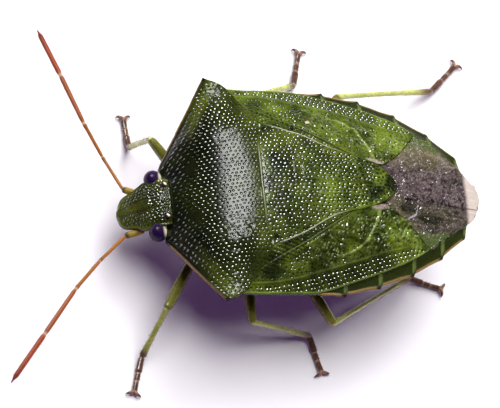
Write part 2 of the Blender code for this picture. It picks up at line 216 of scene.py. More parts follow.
def trunk_place(x, v, t):
    a, s = np.abs(v), np.sign(v)
    top, below = t == 1, t == 0
    rim = step(7.7, 8.3, x)
    tail = step(15.0, 15.35, x)
    outer = edge_w(x) - 0.10 * (1 - rim) + tooth(x)
    lip = np.minimum(wing_y(x), outer - 0.12) - 0.04
    foot = lip - 0.16
    ledge = outer - lip + 1e-6
    y = np.where(a <= 0.6, foot * a / 0.6,
                 np.where(a < 0.7, mix(foot, lip, (a - 0.6) / 0.1),
                          mix(lip, outer, (a - 0.7) / 0.3)))
    covered = back(x, y) - 0.20
    sunk = 0.02 + 0.09 * step(14.4, 15.0, x)
    flat = (edge_z(x) + (back(x, lip) - sunk - edge_z(x)) * np.clip((outer - y) / ledge, 0, 1)
            - 0.05 * np.sin(np.pi * np.clip((y - lip) / ledge, 0, 1)))
    z_top = mix(covered, flat, step(0.6, 0.7, a))
    z_top = mix(z_top, covered - 0.05, 1 - rim)
    z_top = mix(z_top, np.minimum(z_top, back(x, y) - 0.22), tail)
    bow = x + 0.35 * (1 - a * a) * below
    crease = at_teeth(lambda k: line(bow, k + 0.02, 0.09))
    y_low = outer * a
    side_z = mix(back(x, outer) - 0.32, edge_z(x) - 0.14, rim)
    side_z = mix(side_z, back(x, y_low) - 0.5, tail)
    keel = 0.06 * line(y_low, 0, 0.5) * step(8, 9, x)
    z_low = mix(belly_z(x), side_z, a ** 2.1) - keel + 0.05 * crease * (1 - a ** 6)
    y = np.where(top, y, np.where(below, y_low, outer)) + bulge(t)
    z_side = mix(side_z, np.where((rim > 0.5) & (x <= 15.0), edge_z(x), z_top), t)
    z = np.where(top, z_top, np.where(below, z_low, z_side))
    show = top & (a > 0.62)
    spike = at_teeth(lambda k: step(0.24, 0.06, np.hypot(x - k + 0.04, (y - outer) * 1.6)))
    pale = at_teeth(lambda k: line(x, k + 0.02, 0.13)) * step(0.0, 0.15, outer - y - 0.05)
    spot = at_teeth(lambda k: step(0.14, 0.07, np.hypot(x - k + 0.75, y_low - outer * 0.8)))
    joints = sum(line(x, k + 0.04, 0.06) for k in TEETH[:-1])
    masks = {"inside": np.maximum(top & (a < 0.62), step(15.15, 15.20, x)),
             "spike": spike * (t > 0.2), "pale": pale * show, "spot": spot * below,
             "gold": step(0.09, 0.04, outer - y) * (t >= 0.5) * rim,
             "suture": crease * np.where(show, 1.0, 0.6),
             "relief": show * (-0.045 * joints - 0.02 * line((y - lip) / ledge, 0.30, 0.12))}
    return np.stack([x, y * s, z], axis=1), masks


def feed(tree, socket, value):
    """Set an input, or link it where the value is the output of a node."""
    if isinstance(value, bpy.types.NodeSocket):
        tree.links.new(value, socket)
    else:
        socket.default_value = (*value, 1) if isinstance(value, tuple) else value


def put(tree, kind, inputs, **settings):
    """A new node with its settings, and its inputs set or linked."""
    node = tree.nodes.new(kind)
    for key, value in settings.items():
        setattr(node, key, value)
    for key, value in inputs.items():
        feed(tree, node.inputs[key], value)
    return node


def scaled(tree, value, gain, offset=0.0, clamp=False):
    """The value times the gain, plus the offset."""
    return put(tree, "ShaderNodeMath", {0: value, 1: gain, 2: offset},
               operation="MULTIPLY_ADD", use_clamp=clamp).outputs[0]


def blend(tree, amount, a, b, how="MIX"):
    return put(tree, "ShaderNodeMix", {0: amount, 6: a, 7: b},
               data_type="RGBA", blend_type=how).outputs[2]


def noise(tree, where, scale, detail, rough=0.5):
    return put(tree, "ShaderNodeTexNoise", {"Vector": where, "Scale": scale, "Detail": detail,
                                            "Roughness": rough}).outputs[0]


def stretch(tree, value, low, high, to_low=0.0, to_high=1.0):
    """Bring the range from low to high to the new range, cut off at its ends."""
    return put(tree, "ShaderNodeMapRange", {0: value, 1: low, 2: high,
                                            3: to_low, 4: to_high}).outputs[0]


def mottle(tree, colour, grain, low, high):
    """Darken and lighten a colour with a fine grain."""
    shade = stretch(tree, grain, 0.3, 0.7, low, high)
    grey = put(tree, "ShaderNodeCombineColor", {k: shade for k in range(3)})
    return blend(tree, 1.0, colour, grey.outputs[0], "MULTIPLY")


def mark(tree, name):
    """A mask that the mesh carries."""
    return put(tree, "ShaderNodeAttribute", {}, attribute_name=name).outputs["Fac"]


def layers(tree, colour, rows):
    """Lay (mask, colour, strength) rows over a colour, one after another."""
    for mask, tint, strength in rows:
        colour = blend(tree, scaled(tree, mark(tree, mask), strength), colour, tint)
    return colour


def new_material(name):
    """A material, its node tree and its object coordinates."""
    mat = bpy.data.materials.new(name)
    mat.use_nodes = True
    return mat, mat.node_tree, put(mat.node_tree, "ShaderNodeTexCoord", {}).outputs["Object"]


def dress(tree, inputs, height, strength, depth, invert=False):
    """Give the shader its inputs and a bump from the height."""
    bump = put(tree, "ShaderNodeBump",
               {"Height": height, "Strength": strength, "Distance": depth}, invert=invert)
    for key, value in {"Normal": bump.outputs[0], **inputs}.items():
        feed(tree, tree.nodes["Principled BSDF"].inputs[key], value)


# Chitin: two greens that swim into each other, with painted shade that darkens
# the pits, and a very fine skin texture.  Every green plate of the bug uses it.
chitin = bpy.data.node_groups.new("chitin", "ShaderNodeTree")
for way, kind, labels in (("INPUT", "Color", ("Dark", "Light")),
                          ("INPUT", "Float", ("Patch", "Pit", "Patch size", "Grain size")),
                          ("OUTPUT", "Color", ("Color",)),
                          ("OUTPUT", "Float", ("Roughness", "Height"))):
    for label in labels:
        chitin.interface.new_socket(label, in_out=way, socket_type="NodeSocket" + kind)
given = chitin.nodes.new("NodeGroupInput").outputs
spot = put(chitin, "ShaderNodeTexCoord", {}).outputs["Object"]
swim = stretch(chitin, noise(chitin, spot, given["Patch size"], 3.0, 0.55), 0.38, 0.68)
grain = noise(chitin, spot, given["Grain size"], 2.0, 0.6)
amount = scaled(chitin, scaled(chitin, swim, 0.8, 0.6), given["Patch"],
                scaled(chitin, swim, 0.10), True)
tone = blend(chitin, amount, given["Dark"], given["Light"])
tone = mottle(chitin, tone, grain, 0.72, 1.25)
# painted shade: each pit's floor darkens towards a near black green
tone = blend(chitin, scaled(chitin, given["Pit"], 0.8), tone, (0.004, 0.008, 0.002))
put(chitin, "NodeGroupOutput", {"Color": tone, "Height": grain,
                                "Roughness": scaled(chitin, grain, 0.12, 0.16)})


def shell_material(name, dark, light, extra, gloss, patch_size, bump,
                   grain_size=9000.0, fine=None, coat=0.04, ior=1.37):
    """Chitin with its own greens, and extra rows for layers() over it."""
    mat, tree, spot = new_material(name)
    body = put(tree, "ShaderNodeGroup",
               {"Dark": dark, "Light": light, "Patch": mark(tree, "lime"),
                "Pit": mark(tree, "pit"), "Patch size": patch_size, "Grain size": grain_size},
               node_tree=chitin).outputs
    height = body["Height"]
    if fine:
        cells = put(tree, "ShaderNodeTexVoronoi", {"Vector": spot, "Scale": fine})
        dent = stretch(tree, cells.outputs["Distance"], 0.12, 0.38)
        height = scaled(tree, dent, 1.6, height)
    dress(tree, {"Base Color": layers(tree, body["Color"], extra), "IOR": ior,
                 "Roughness": scaled(tree, body["Roughness"], 1.0, gloss),
                 "Coat Weight": scaled(tree, mark(tree, "pit"), 1.5, coat, True),
                 "Coat Roughness": 0.12, "Coat IOR": 2.35}, height, strength=bump, depth=0.00002)
    return mat


rim_green = shell_material(
    "belly_shell", (0.013, 0.020, 0.002), (0.052, 0.070, 0.002),
    (("inside", (0.016, 0.011, 0.010), 1.0), ("pale", (0.20, 0.29, 0.06), 0.8),
     ("suture", (0.010, 0.018, 0.004), 0.5), ("gold", (0.30, 0.20, 0.06), 0.8),
     ("spike", (0.006, 0.004, 0.004), 1.0), ("spot", (0.01, 0.01, 0.006), 0.9)),
    gloss=0.16, patch_size=500.0, bump=0.4, grain_size=12000.0, fine=9000.0, coat=0.0, ior=1.27)
wall = (0.75, 0.5, 0.25)
trunk_ring = [*((v, 1) for v in (*band(-0.6, 0.6, 16), 0.62, 0.66, 0.69, *band(0.7, 1.0, 12))),
              *((1.0, t) for t in wall), *((v, 0) for v in np.linspace(1, -1, 61)),
              *((-1.0, t) for t in wall[::-1]),
              *((v, 1) for v in (*band(-1.0, -0.7, 12), -0.69, -0.66, -0.62))]
trunk_rows = sorted([*np.arange(5.62, 15.43, 0.045),
                     *(k + d for k in TEETH for d in (-0.03, 0.0, 0.02, 0.06))])
add_piece(closed_skin("belly", trunk_rows, trunk_ring, trunk_place), rim_green, "abdomen",
          "abdomen", "thorax")

# ---------------------------------------------------------------- Collar
# The pronotum, the saddle over the front legs: one thick plate with pointed,
# black-tipped shoulders, covered in punched pits.  It grows as a single cap
# over the prothorax and its hind edge lies on the shield and the wings.
front_x = through((0, 2.12), (0.5, 2.12), (0.77, 1.99), (0.93, 1.82), (1, 1.80))
rear_x, rear_y, rear_z = tracks((0, 5.68, 0.0, 5.15), (0.3, 5.71, 1.65, 5.13),
    (0.55, 5.95, 3.10, 5.06), (0.75, 5.28, 4.22, 4.66), (0.9, 4.64, 5.13, 4.48),
    (1, 3.81, 5.59, 4.25))
CELL = 0.205        # mm from pit to pit
collar_cells = through((1.75, 0.0), (3.2, 5.8), (4.6, 12.3), (6.0, 20.0))


def pits(x, y, pitch, radius, seed, wander=0.22, keep=1.0):
    """Round bowls on a loose honeycomb: 1 at the middle of each, 0 outside them all."""
    near = np.full(np.shape(x), 9.0)
    gy = y / (pitch * 0.866)
    for dj in (-1, 0, 1):
        j = np.floor(gy + 0.5) + dj
        shift = (j % 2) * 0.5
        gx = x / pitch - shift
        for di in (-1, 0, 1):
            i = np.floor(gx + 0.5) + di
            px = (i + shift + (chance(i, j, seed) - 0.5) * 2 * wander) * pitch
            py = (j + (chance(i, j, seed + 1) - 0.5) * 2 * wander) * pitch * 0.866
            size = radius * (0.78 + 0.44 * chance(i, j, seed + 2))
            far = np.hypot(x - px, y - py) / size
            near = np.minimum(near, np.where(chance(i, j, seed + 3) < keep, far, 9.0))
    return np.clip(1 - near * near, 0, 1)


def collar_place(u, v, t):
    a, s = np.abs(v), np.where(v >= 0, 1, -1)
    behind, u = u > 1, np.minimum(u, 1)
    x = mix(front_x(a), rear_x(a), u)
    y = mix(1.83 * a, rear_y(a), u) * s
    hump = 4 * u * (1 - u)
    shoulder = 0.425 * np.exp(-((a - 0.78) / 0.356) ** 2) * (1 - a ** 6)
    z = (mix(3.30 - 0.64 * a * a, rear_z(a), u) + 0.13 * u ** 5 * step(0.84, 1, a)
         + hump * (0.314 * (1 - a ** 11) + shoulder))
    mid = mix(3.30, 5.15, u) + 0.314 * hump
    low = z - mix(mid - 1.90, 0.10, a ** 1.25)
    z = np.where(behind, low - 0.02, mix(low, z, t))
    y = y + s * bulge(t)
    far = np.abs(y)
    plain = np.where((t == 1) & ~behind, 1.0, 0.0)
    margin = (1 - a) * mix(1.83, 8.5, u ** 1.5)
    wave = 0.05 * np.sin(y * 1.9) + 0.1 * ripple(x, y, 0.8, 5)
    cup = pits(collar_cells(x) * CELL + wave, y, CELL, 0.053, 11, wander=0.17)
    callus = step(0.62, 0.30, np.hypot((x - 2.95) * 1.6, far - 1.15) + 0.35 * ripple(x, y, 0.3, 13))
    pit = cup * plain * step(0.07, 0.13, margin) * within(u, 0.0, 0.03, 0.985, 1.0) * (1 - callus)
    bead = step(0.09, 0.03, margin) * step(0.0, 0.05, u)
    ends = np.maximum(step(-0.9, -2.3, y), 0.7 * step(1.7, 2.7, y))
    ends = np.maximum(ends, step(0.84, 0.90, a))
    swell = 0.02 * (ripple(x + 3, y, 1.3, 2) - 0.5) + 0.022 * ends * (ripple(x, y, 0.17, 17) - 0.5)
    deep = 0.018 + 0.009 * step(1.2, 0.4, margin) + 0.004 * step(4.9, 5.5, x)
    lime = (0.50 * line(margin, 0.35, 0.38) * step(0.22, 0.5, u)
            + 0.16 * step(3.9, 5.0, x + 0.12 * far)
            + 0.16 * step(3.4, 4.6, far) * ripple(x, y, 0.6, 8)
            + 0.30 * step(5.0, 5.5, x) * ripple(x, y, 0.5, 9))
    ash = step(0.55, 0.1, u) * step(0.75, 0.25, margin) * step(0.08, 0.2, u)
    tip = (step(0.20, 0.10, np.hypot(x - 3.83, far - 5.60))
           + 0.6 * plain * step(0.05, 0.02, margin) * step(0.55, 0.9, u))
    masks = {"pit": pit, "lime": plain * lime, "tip": tip,
             "relief": plain * (swell + 0.025 * bead - deep * pit),
             "gold": step(0.055, 0.02, margin) * (t > 0.6) * step(0.02, 0.1, u),
             "ashy": plain * np.maximum(ash, 0.5 * callus)}
    return np.stack([x, y, z], axis=1), masks


collar_green = shell_material(
    "collar_shell", (0.0035, 0.0054, 0.0012), (0.092, 0.122, 0.010),
    (("ashy", (0.012, 0.012, 0.004), 0.8), ("gold", (0.24, 0.16, 0.06), 0.85),
     ("tip", (0.004, 0.003, 0.003), 1.0)),
    gloss=-0.04, patch_size=600.0, bump=0.06, coat=0.01, ior=1.33)
reach = np.linspace(0, 1, 400)
run = np.cumsum(np.hypot(np.diff(rear_x(reach)), np.diff(rear_y(reach))))
half = np.interp(np.linspace(0, run[-1], 260), [0, *run], reach)
collar_ring = plate_ring([*-half[:0:-1], *half], 31)
add_piece(closed_skin("collar", [*np.linspace(0, 1, 172), 1.01], collar_ring, collar_place),
          collar_green, "cuticle", "pronotum")

# ---------------------------------------------------------------- Shield
# The scutellum, a long tongue of chitin between the wings, pitted like the
# collar but with fine cross wrinkles and a smooth pale bead along each side.
# A light lime patch near its middle is a painted highlight on its swelling.
shield_w = through((5.55, 3.16), (6.0, 3.08), (7.38, 2.58), (8.92, 1.73), (10.57, 1.20),
                   (11.18, 0.92), (11.60, 0.58), (11.86, 0.28), (11.95, 0.06))


def shield_place(x, v, t):
    x = mix(5.55 + 0.26 * np.abs(v) ** 2.5, 11.95, (x - 5.55) / 6.4)
    w = shield_w(x)
    y = v * w
    far, side = np.abs(y), w - np.abs(y)
    plain = np.where(t == 1, 1.0, 0.0)
    z = (back(x, y) + 0.022 + 0.04 * (1 - v * v) * step(12, 10.5, x) - 0.06 * step(6.0, 5.6, x)
         - 0.04 * step(11.2, 11.95, x) ** 2 - 0.22 * (1 - t))
    cup = pits(x + 0.12 * ripple(x, y, 0.5, 4) + 0.05 * np.cos(y * 3),
               y + 0.1 * ripple(x, y, 0.45, 6), CELL, mix(0.060, 0.088, step(6.6, 10.4, x)), 21)
    fovea = step(0.17, 0.06, np.hypot(x - 6.18, far - 2.72))
    callus = step(0.12, 0.05, np.hypot(x - 5.95, (far - 2.95) * 0.8))
    middle = line(y + 0.06, 0, 0.11) * within(x, 7.2, 8.4, 10.8, 11.4)
    pit = (cup * plain * step(0.05, 0.12, side) * step(5.80, 5.90, x)
           * (1 - callus) * (1 - fovea) * (1 - 0.85 * middle))
    rug = ripple(x, y * 0.22, 0.13, 9) - 0.5
    deep = 0.020 + 0.018 * step(6.6, 10.4, x) + 0.003 * v * v
    brow = 5.76 + 0.02 * far
    relief = (0.030 * rug * step(6.3, 7.5, x) + 0.022 * line(side, 0.04, 0.05) * step(6.1, 6.8, x)
              + 0.05 * (ripple(x, y, 0.9, 12) - 0.5) - 0.06 * fovea + 0.04 * callus
              + 0.022 * line(x, brow, 0.09) - deep * pit)
    lime = (0.26 + 0.35 * step(0.6, 0.15, side) * step(7.0, 9.5, x) * ripple(x, y, 0.5, 3)
            # painted highlight: the lime patch round x 9.3 stands for light caught on the swelling
            + 0.35 * step(1.3, 0.3, np.hypot((x - 9.3) * 0.8, y + 0.75)) - 0.30 * middle
            - 0.35 * step(11.35, 11.65, x)
            + 0.60 * line(x, 10.9, 1.2) * step(0.35, 0.75, ripple(x, y, 0.32, 7))
            + 0.35 * (ripple(x, y, 1.1, 14) - 0.5) + 0.45 * (ripple(x, y, 0.4, 15) - 0.5))
    pale = (line(side, 0.035, 0.045) * within(x, 6.1, 6.8, 8.4, 9.9)
            + 0.35 * line(x, brow, 0.05) * step(2.3, 1.2, far))
    masks = {"pit": pit + fovea, "lime": plain * lime, "relief": plain * relief,
             "pale": plain * pale, "white": plain * callus}
    return np.stack([x, y, z], axis=1), masks


shield_green = shell_material(
    "shield_shell", (0.0055, 0.0098, 0.0014), (0.124, 0.178, 0.008),
    (("pale", (0.50, 0.52, 0.36), 0.85), ("white", (0.62, 0.60, 0.52), 1.0)),
    gloss=0.03, patch_size=800.0, bump=0.12)
shield_rows = [*np.linspace(5.55, 5.95, 27), *np.linspace(5.975, 11.95, 255)]
shield_ring = plate_ring(np.linspace(-1, 1, 251), 15, (0.6, 0.3))
add_piece(closed_skin("shield", shield_rows, shield_ring, shield_place),
          shield_green, "cuticle", "scutellum")

# ---------------------------------------------------------------- Wing bases
# The leathery front halves of the wings, one each side of the shield: thin
# tough chitin with raised veins, pitted in rows at the outer edge and creased
# like wet leather further in.  The near wing's green is painted darker than the
# far wing's as painted shade, and the crests of the creases carry painted glints.
inner_x, inner_y, outer_x = tracks((0, 5.62, 2.70, 4.40), (0.2, 7.40, 2.35, 6.75),
    (0.42, 8.95, 1.60, 8.80), (0.62, 10.60, 1.08, 10.60), (0.72, 11.28, 1.02, 11.35),
    (0.80, 11.68, 1.20, 11.92), (0.88, 12.22, 1.68, 12.48), (0.94, 12.68, 2.20, 12.92),
    (1, 13.02, 2.68, 13.22))
wing_rib = through((4.4, 4.75), (6.0, 4.66), (6.8, 4.54), (7.84, 4.27), (9.6, 3.76), (11.5, 3.12),
                   (12.6, 2.82))
clavus = through((5.0, 4.35), (5.6, 3.95), (6.4, 3.50), (7.64, 2.82), (8.8, 2.08), (9.75, 1.50),
                 (11.2, 1.00))
vein_x = through((1.2, 11.0), (1.4, 10.97), (1.8, 10.85), (2.3, 10.60), (2.7, 10.36), (3.0, 10.05),
                 (3.3, 9.6), (3.5, 9.0), (3.6, 8.2))


def wing_base(u, v, t, sign):
    x, y = mix(inner_x(u), outer_x(u), v), mix(inner_y(u), wing_y(outer_x(u)) + 0.02, v)
    plain = np.where(t == 1, 1.0, 0.0)
    rim, rib, furrow = wing_y(x) - y, wing_rib(x), y - clavus(x)
    tuck = step(0.06, -0.16, y - shield_w(x)) * step(12.0, 11.3, x)
    z = back(x, y) + 0.01 - 0.11 * tuck - 0.16 * (1 - t)
    outer_zone = step(rib - 0.05, rib + 0.10, y)
    rows = pits(x + 0.10 * ripple(x, y, 0.5, 31), y - rib, CELL, 0.076, 33, wander=0.18)
    loose = pits(x + 0.2 * ripple(x, y, 0.4, 35), y + 0.2 * ripple(x, y, 0.4, 36), 0.185, 0.056,
                 37, keep=0.85)
    creased = (step(0.1, 0.6, furrow) * step(rib + 0.05, rib - 0.4, y) * step(7.2, 8.8, x)
               * (1.0 if sign < 0 else 0.75))
    along, across = x * 0.93 + y * 0.36, y * 0.93 - x * 0.36
    fold = np.abs(ripple(along * 0.55 + 0.5 * ripple(x, y, 0.5, 41),
                         across + 0.2 * ripple(x, y, 0.35, 43), 0.15, 42) - 0.5) * 2
    fan = (stripes(across * 5.5 + 0.5 * ripple(x, y, 0.8, 44), 0.42) * step(5.3, 5.8, x)
           * step(8.2, 6.4, x) * step(0.25, 0.0, np.abs(furrow + 0.12) - 0.35))
    pit = (np.where(outer_zone > 0.5, rows, loose) * plain * step(0.03, 0.10, rim)
           * (1 - 0.35 * creased) * step(0.05, 0.12, np.abs(y - rib))
           * step(0.04, 0.10, np.abs(furrow)) * (1 - 0.7 * fan))
    vein = line(y, rib, 0.09) * within(x, 4.6, 5.6, 11.8, 12.6)
    slant = np.hypot(1.0, (vein_x(y + 0.02) - vein_x(y - 0.02)) / 0.04)
    vein2 = (line((x - vein_x(y)) / slant, 0, 0.075 + 0.05 * step(2.4, 1.4, y))
             * step(8.6, 9.6, x) * within(y, 1.22, 1.34, 3.40, 3.58))
    streak = line(furrow, 0.20, 0.08) * within(x, 6.4, 7.4, 9.0, 9.6)
    stripe = np.maximum(line(y - 1.87 - 1.75 * (12.32 - x), 0, 0.13),
                        line(y - 1.87 - 1.75 * (12.50 - x), 0, 0.10))
    stripe = stripe * within(x, 11.85, 11.95, 12.3, 12.45) * within(y, 1.6, 1.9, 2.4, 2.7)
    ticks = (stripes(x * 5.2 + y * 2.0, 0.35) * step(0.30, 0.18, np.abs((1 - u) * 4.0 - 0.45))
             * step(0.86, 0.92, u) * step(0.45, 0.7, v))
    seam, ridge = line(furrow, -0.05, 0.035), line(furrow, 0.02, 0.045)
    wrinkle = ripple(along * 0.75 + 0.3 * ripple(x, y, 0.6, 50), across, 0.21, 47) - 0.5
    crest = pits((x * 0.55 - y * 0.83) * 0.45, x * 0.83 + y * 0.55, 0.115, 0.042, 71,
                 wander=0.4, keep=0.75)
    crest = creased * crest * step(0.2, 0.6, ripple(x, y, 0.4, 72))
    relief = (creased * (0.045 * (fold - 0.5) + 0.14 * wrinkle) + 0.025 * crest + 0.04 * vein
              + 0.03 * vein2 + 0.03 * stripe - 0.035 * seam + 0.03 * ridge
              + 0.02 * line(rim, 0.03, 0.04) + 0.05 * (ripple(x, y, 0.7, 45) - 0.5)
              + 0.05 * fan + 0.02 * streak - (0.026 + 0.019 * outer_zone) * pit)
    # painted light and shade: the far wing's green starts lighter, the near wing's darker
    lime = ((0.15 if sign < 0 else 0.42) + 0.80 * vein2 + 0.7 * stripe + 0.25 * vein
            + 0.3 * line(rim, 0.02, 0.10) + 0.45 * streak
            + 0.45 * step(9.4, 11.5, x) * step(0.45, 0.8, ripple(x, y, 0.6, 46))
            + 0.35 * (ripple(x, y, 1.0, 48) - 0.5) + 0.3 * (ripple(x, y, 0.3, 49) - 0.5)
            + 0.25 * step(5.6, 4.8, x) * step(0.7, 0.3, rim))
    # painted highlight: the pale on the crests stands for glints on the wrinkles, strongest on the
    # near wing
    pale = (0.35 * ridge * within(x, 5.4, 6.2, 8.8, 9.8) + 0.5 * line(rim, 0.02, 0.03)
            + 0.5 * ticks + 0.55 * vein2 + 0.5 * stripe + 0.65 * crest)
    wedge = step(0.05, -0.05, y - shield_w(x) - 0.10 - 0.38 * (x - 10.6))
    fleck = 0.38 * wedge * within(x, 10.5, 10.8, 11.5, 11.9) * (0.5 + ripple(x, y, 0.09, 52))
    soil = np.zeros_like(x)
    if sign > 0:
        for px, py, pr in ((7.42, 2.74, 0.10), (7.50, 2.50, 0.08), (8.84, 2.79, 0.085)):
            soil = np.maximum(soil, step(pr, pr * 0.5, np.hypot(x - px, (y - py) * 0.8)))
        fleck = np.maximum(fleck, step(0.14, 0.08, np.hypot(x - 8.20, (y - 3.12) * 1.8)))
    masks = {"pit": pit, "lime": plain * lime, "relief": plain * relief, "pale": plain * pale,
             "dark": plain * seam, "soil": plain * soil, "fleck": plain * fleck}
    return np.stack([x, y * sign, z], axis=1), masks


# pale carries the veins' own pale colour and the painted glints on the crests
wing_green = shell_material(
    "wing_base_shell", (0.0055, 0.0098, 0.0014), (0.120, 0.174, 0.008),
    (("pale", (0.29, 0.37, 0.11), 0.75), ("dark", (0.006, 0.008, 0.003), 0.8),
     ("soil", (0.004, 0.003, 0.006), 1.0), ("fleck", (0.60, 0.45, 0.43), 1.0)),
    gloss=0.02, patch_size=1100.0, bump=0.15)
wing_ring = plate_ring(np.linspace(0, 1, 141), 12, (0.6, 0.3))
for side, sign in SIDES:
    add_piece(closed_skin("wing_base_" + side, np.linspace(0, 1, 340), wing_ring,
                          lambda u, v, t: wing_base(u, v, t, sign)),
              wing_green, "cuticle", "corium_" + side)

# ---------------------------------------------------------------- Wing tips
# The clear hind halves of the wings, thinner than paper, brown and crumpled,
# with long thin veins and painted highlights on their wrinkles and on the left
# one's fold.  The right one is folded over the left, and both reach past the
# tail, where the light floor shows through them.
seam_x, seam_y = tracks((0, 12.10, -0.55), (0.12, 11.85, -0.1), (0.3, 11.60, 0.50),
    (0.42, 11.25, 0.95), (0.52, 11.45, 1.10), (0.64, 12.0, 1.52), (0.78, 12.50, 2.02),
    (0.9, 12.95, 2.55), (1, 13.16, 2.90))
tail_x, tail_y = tracks((0, 15.85, -0.65), (0.12, 15.97, -0.12), (0.22, 15.95, 0.20),
    (0.38, 15.62, 0.72), (0.55, 15.15, 1.28), (0.72, 14.62, 1.80), (0.87, 14.02, 2.32),
    (1, 13.40, 2.84))
film_edge = through((12.3, 1.92), (12.8, 2.02), (13.2, 2.12), (13.8, 2.02), (14.8, 1.80),
                    (15.4, 1.15))
crumple = through((12.30, 1.62), (12.42, 1.54), (12.77, 1.27), (12.86, 0.9), (12.92, 0.60))


def wing_tip(u, v, t, sign):
    left = sign < 0
    x = mix(seam_x(v), tail_x(v) + 0.31 * left * line(v, 0.53, 0.34), u)
    y = mix(seam_y(v), tail_y(v), u)
    drop = step(0.5, 0.0, y - shield_w(x)) * step(12.3, 11.6, x)
    z = (back(x, y) - 0.045 - 0.045 * left * step(1.5, 1.0, y) - 0.05 * drop
         - 0.06 * step(0.06, 0.0, u) - 0.035 * (1 - t))
    vein = np.max([line(v + 0.012 * np.sin(u * 7 + k), 0.10 + 0.155 * k, 0.016)
                   for k in range(6)], axis=0) * within(u, 0.04, 0.15, 0.9, 1.0)
    hoop = line(u, 0.10 + 0.03 * np.sin(v * 9), 0.025)
    fine = 1 - np.abs(ripple(x * 0.8 + y * 0.6, y * 0.8 - x * 0.6, 0.21, 51 + sign) - 0.5) * 2
    finer = 1 - np.abs(ripple(x * 0.5 - y * 0.87, y * 0.5 + x * 0.87, 0.13, 61 + sign) - 0.5) * 2
    crepe = 0.55 * fine + 0.45 * finer
    soft = ripple(x, y, 0.32, 54 + sign)
    dash = pits((x * 0.45 + y * 0.89 * sign) * 0.5, x * 0.89 - y * 0.45 * sign, 0.105, 0.043, 81,
                wander=0.4, keep=0.8)
    # the fold's pale colour is a painted highlight along its crest
    fold = left * line(y, crumple(x), 0.055) * within(x, 12.28, 12.40, 12.90, 12.98)
    free = step(15.22, 15.46, x + 0.02 * y * y)
    relief = (0.012 * vein + 0.01 * hoop + 0.045 * (crepe - 0.5) * step(0, 0.05, u) + 0.025 * dash
              + 0.10 * (soft - 0.5) * step(0, 0.1, u) + 0.07 * fold) * (1 - 0.7 * free)
    inland = y - film_edge(x)
    margin = step(0.0, 0.10, inland)
    comb = (stripes(x * 5.2 + y * 2.0, 0.35) * step(0.30, 0.12, inland)
            * step(13.9, 13.5, x) * margin)
    # painted highlight: light flecks on the wrinkles and dashes stand for their glints
    crinkle = np.clip(0.4 * step(0.66, 0.92, crepe) + dash * (0.45 + 0.6 * soft), 0, 1)
    crinkle = crinkle * (1 - margin) * (0.75 if left else 1.0)
    window = left * np.maximum(
        step(1.0, 0.6, np.hypot((x - 12.40) / 0.52, (y - 1.05) / 0.40)),
        step(1.0, 0.6, np.hypot((x - 13.40) / 0.75, (y - 1.45) / 0.34)))
    green = step(0.35, 0.75, ripple(x, y, 0.55, 55 + sign)) * step(0.12, 0.85, v)
    tan = 0.45 * step(0.25, 0.05, u) if left else step(0.35, 0.85, v)
    masks = {"vein": vein, "free": free, "fold": fold, "margin": margin, "window": window,
             "green": green + 0.75 * left * step(0.15, 0.6, v), "relief": relief,
             "tan": tan * (0.5 + 0.5 * ripple(x, y, 0.3, 57)),
             # the comb ticks along the edge are the film's own pale marks, joined to the painted
             # flecks
             "crinkle": np.maximum(crinkle, 0.8 * comb)}
    return np.stack([x, y * sign, z], axis=1), masks


film, tree, spot = new_material("wing_film")
smoke = noise(tree, spot, 2600.0, 4.0, 0.65)
tint = blend(tree, stretch(tree, smoke, 0.38, 0.64), (0.014, 0.009, 0.013), (0.11, 0.078, 0.080))
tint = layers(tree, tint, (
    ("green", (0.036, 0.040, 0.010), 0.70), ("tan", (0.19, 0.17, 0.065), 0.75),
    # painted highlights: the pale flecks on the wrinkles
    ("margin", (0.085, 0.120, 0.030), 0.85), ("crinkle", (0.34, 0.28, 0.25), 0.50),
    ("window", (0.010, 0.012, 0.004), 0.80), ("vein", (0.16, 0.12, 0.09), 0.25),
    # painted highlight: the pale lavender along the fold
    ("fold", (0.62, 0.58, 0.66), 1.0), ("free", (0.60, 0.53, 0.45), 1.0)))
cover = scaled(tree, mark(tree, "vein"), 0.15, 0.78, True)
dress(tree, {"Base Color": tint, "Alpha": cover, "Roughness": 0.20, "IOR": 1.6,
             "Coat Weight": 0.6, "Coat Roughness": 0.12}, smoke, strength=0.5, depth=0.00003)
tip_ring = plate_ring(np.linspace(0, 1, 130), 130, (0.5,))
for side, sign in SIDES:
    add_piece(closed_skin("wing_tip_" + side, np.linspace(0, 1, 150), tip_ring,
                          lambda u, v, t: wing_tip(u, v, t, sign)),
              film, "membrane", "membrane_" + side)

# ---------------------------------------------------------------- Head
# A flat spade of chitin leaning forward, pitted all over, with two grooves
# that mark off the snout and fine folds near the neck.
head_w = through((-0.02, 0.10), (0.02, 0.30), (0.08, 0.50), (0.22, 0.72), (0.43, 0.84),
                 (0.68, 0.94), (0.82, 1.03), (1.10, 1.17), (1.28, 1.15), (1.5, 1.12), (1.8, 1.16),
                 (2.3, 1.05))

head_z = through((-0.02, 1.74), (0.5, 2.15), (1.2, 2.70), (1.75, 3.06), (2.0, 3.10), (2.3, 2.90))
chin_z = through((-0.02, 1.50), (0.3, 1.42), (2.3, 1.75))
groove_y = through((0, 0.14), (0.5, 0.21), (1.0, 0.27), (1.35, 0.17))


